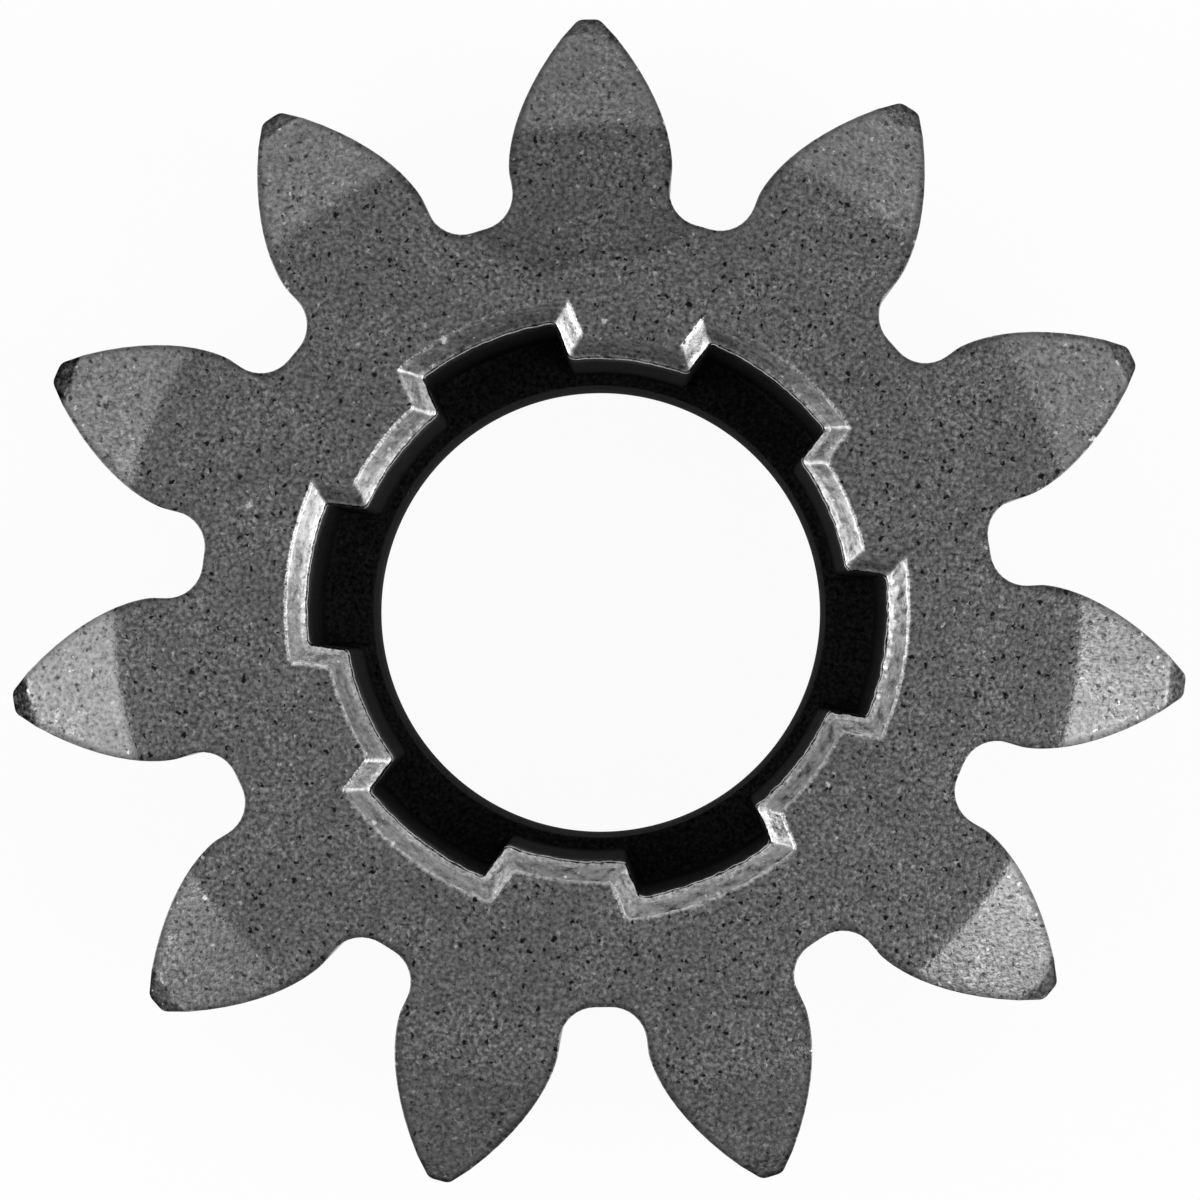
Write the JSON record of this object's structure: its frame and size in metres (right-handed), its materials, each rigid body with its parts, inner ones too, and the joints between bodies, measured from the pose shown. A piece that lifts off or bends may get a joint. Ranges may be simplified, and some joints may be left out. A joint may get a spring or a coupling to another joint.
{
  "type": "pinion gear",
  "caption": "Small sintered steel pinion gear with stout involute teeth, a plain bore and a slotted drive socket in its open front face.",
  "frame": {"origin": "on the bore's axis, in the plane of the flat rear face", "axes": "+Z along the bore, out of the open front with the drive socket; +X through the middle of one tooth and of one socket slot"},
  "size_m": [0.0341, 0.0344, 0.0125],
  "materials": {
    "sintered_steel": "satin, finely pitted, as pressed and sintered"
  },
  "bodies": {
    "root": {"pinion_gear": "sintered_steel"}
  },
  "joints": []
}
